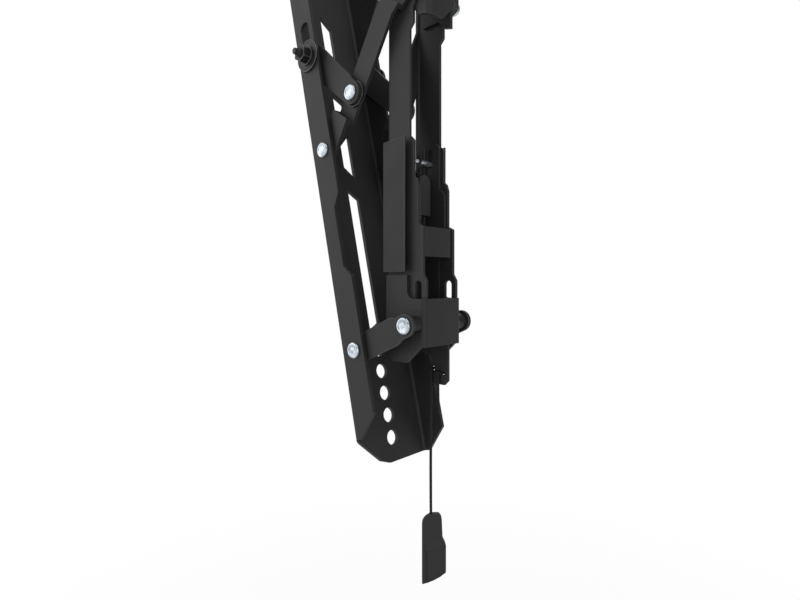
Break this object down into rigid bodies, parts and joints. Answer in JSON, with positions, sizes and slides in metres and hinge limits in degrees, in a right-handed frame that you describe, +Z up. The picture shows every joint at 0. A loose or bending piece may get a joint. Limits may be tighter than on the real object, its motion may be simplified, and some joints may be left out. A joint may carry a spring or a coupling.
{
  "type": "tilting tv wall bracket",
  "caption": "Extend-and-tilt arm of a television wall bracket: folded rail on coupled links, a tension slot and a spring latch with a pull cord.",
  "frame": {"origin": "middle of the lower yoke's flat wall side", "axes": "+X across the arm towards its near side, +Y towards the wall, +Z up"},
  "size_m": [0.086, 0.1581, 0.5356],
  "materials": {
    "black_steel": "satin black powder coat",
    "black_oxide": "black zinc",
    "zinc_steel": "bright zinc",
    "black_plastic": "moulded, fine grain",
    "cord": "braided"
  },
  "bodies": {
    "wall_bracket": {"wall_channel": "black_steel", "lower_yoke": "black_steel", "upper_yoke": "black_steel", "top_pivot_bolt": "zinc_steel", "top_pivot_nut": "black_oxide", "top_pivot_washer": "black_oxide", "cross_pin": "zinc_steel", "latch_spring": "black_oxide", "lower_rivet_near": "zinc_steel", "lower_rivet_far": "zinc_steel", "lower_bush_near": "black_oxide", "lower_bush_far": "black_oxide", "arm_spacer_near": "black_oxide", "arm_spacer_far": "black_oxide", "side_strip_near": "black_plastic", "side_strip_far": "black_plastic", "strip_posts_near": "zinc_steel", "strip_posts_far": "zinc_steel"},
    "upper_arms": {"upper_arm_near": "black_steel", "upper_arm_far": "black_steel", "middle_rivet_near": "zinc_steel", "middle_rivet_far": "zinc_steel", "middle_washer_near": "black_oxide", "middle_washer_far": "black_oxide"},
    "tv_rail": {"tv_rail": "black_steel", "rail_rivet_near": "zinc_steel", "rail_rivet_far": "zinc_steel", "rail_washer_near": "black_oxide", "rail_washer_far": "black_oxide", "foot_pin_near": "zinc_steel", "foot_pin_far": "zinc_steel", "foot_washer_near": "black_oxide", "foot_washer_far": "black_oxide"},
    "brace_links": {"brace_link_near": "black_steel", "brace_link_far": "black_steel", "tension_stud_near": "black_oxide", "tension_stud_far": "black_oxide", "tension_bush_near": "black_oxide", "tension_bush_far": "black_oxide", "tension_disc_near": "black_oxide", "tension_disc_far": "black_oxide", "tension_washer_near": "black_oxide", "tension_washer_far": "black_oxide", "tension_nut_near": "black_oxide", "tension_nut_far": "black_oxide"},
    "lower_links": {"lower_link_near": "black_steel", "lower_link_far": "black_steel"},
    "latch": {"latch_carriage": "black_steel", "stop_pin": "zinc_steel", "pull_cord": "cord", "cord_tail": "cord", "cord_loop": "cord", "pull_tab": "black_plastic"}
  },
  "joints": [
    {"name": "arm_fold", "type": "hinge", "parent": "wall_bracket", "child": "upper_arms", "pos_m": [0, -0.014, 0.203], "axis": [1, 0, 0], "range_deg": [0, 24]},
    {"name": "rail_tilt", "type": "hinge", "parent": "upper_arms", "child": "tv_rail", "pos_m": [0, -0.07597, 0.11043], "axis": [1, 0, 0], "range_deg": [-34.2, 0]},
    {"name": "brace_turn", "type": "hinge", "parent": "upper_arms", "child": "brace_links", "pos_m": [0, -0.05372, 0.14367], "axis": [1, 0, 0], "range_deg": [-59.2, 0]},
    {"name": "lower_link_turn", "type": "hinge", "parent": "wall_bracket", "child": "lower_links", "pos_m": [0, -0.0065, -0.001], "axis": [1, 0, 0], "range_deg": [0, 40.8]},
    {"name": "latch_slide", "type": "slide", "parent": "wall_bracket", "child": "latch", "axis": [0, 0, -1], "range_m": [0, 0.007], "stiffness_N_per_m": 400, "springref_m": -0.01, "deforming": ["latch_spring"]}
  ],
  "couplings": [
    {"joint": "rail_tilt", "follows": "arm_fold", "ratio": -1.422},
    {"joint": "brace_turn", "follows": "arm_fold", "ratio": -2.463},
    {"joint": "lower_link_turn", "follows": "arm_fold", "ratio": 1.698}
  ]
}
